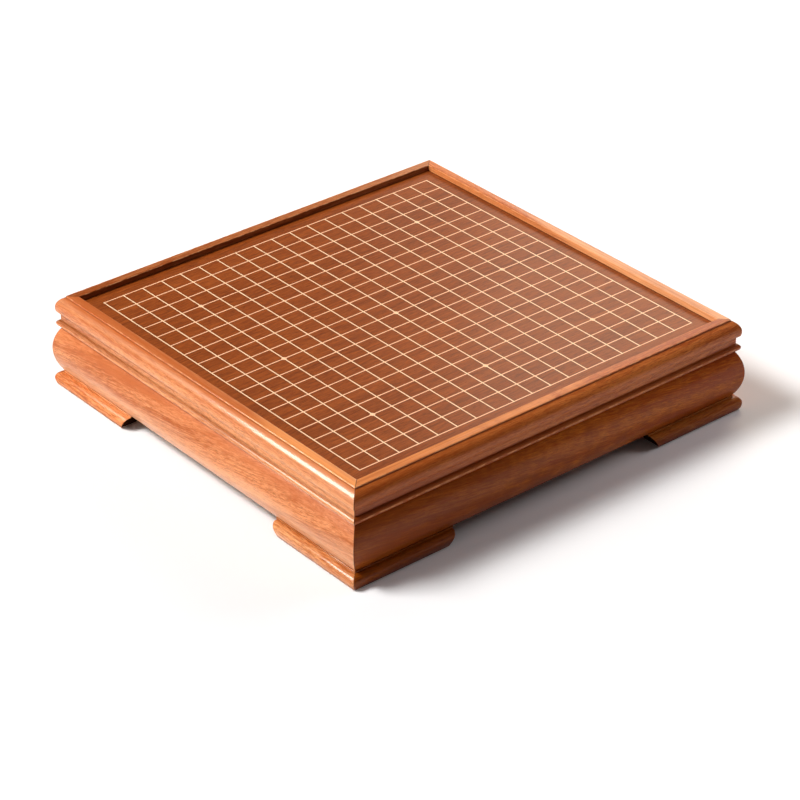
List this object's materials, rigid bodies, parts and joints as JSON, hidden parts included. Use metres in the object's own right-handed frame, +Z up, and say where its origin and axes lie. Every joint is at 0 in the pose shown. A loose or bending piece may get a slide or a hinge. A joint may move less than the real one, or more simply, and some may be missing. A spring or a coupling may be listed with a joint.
{
  "type": "go board",
  "caption": "Framed low go board: a line grid inlaid in a sunken wooden panel, held in a mitred moulded frame with swelled aprons on bracket feet; stones are played on the panel.",
  "frame": {"origin": "middle of the floor under the board, at the undersides of the felt pads", "axes": "+Z up out of the playing face, +Y along the longer side away from the front player, +X to the front player's right"},
  "size_m": [0.4954, 0.5134, 0.105],
  "materials": {
    "frame_wood": "reddish brown hardwood, semi-gloss lacquer",
    "panel_wood": "reddish brown hardwood, satin lacquer",
    "line_filling": "pale peach filler, rubbed flush",
    "inner_wood": "plain pale wood, unfinished",
    "felt": "dark felt",
    "screw_steel": "plain steel"
  },
  "bodies": {
    "root": {"playing_panel": "panel_wood", "grid_lines": "line_filling", "star_points": "line_filling", "top_rail_back": "frame_wood", "top_rail_left": "frame_wood", "top_rail_front": "frame_wood", "top_rail_right": "frame_wood", "apron_back": "frame_wood", "apron_left": "frame_wood", "apron_front": "frame_wood", "apron_right": "frame_wood", "foot_back_left_back": "frame_wood", "foot_back_right_back": "frame_wood", "foot_back_left_side": "frame_wood", "foot_front_left_side": "frame_wood", "foot_front_left_front": "frame_wood", "foot_front_right_front": "frame_wood", "foot_front_right_side": "frame_wood", "foot_back_right_side": "frame_wood", "corner_block_front_left": "inner_wood", "corner_block_front_right": "inner_wood", "corner_block_back_left": "inner_wood", "corner_block_back_right": "inner_wood", "foot_pad_front_left": "felt", "foot_pad_front_right": "felt", "foot_pad_back_left": "felt", "foot_pad_back_right": "felt", "batten_front": "inner_wood", "batten_back": "inner_wood", "rail_splines": "inner_wood", "apron_splines": "inner_wood", "rail_dowels": "inner_wood", "foot_dowels": "inner_wood", "block_screws": "screw_steel", "batten_screws": "screw_steel"}
  },
  "joints": []
}
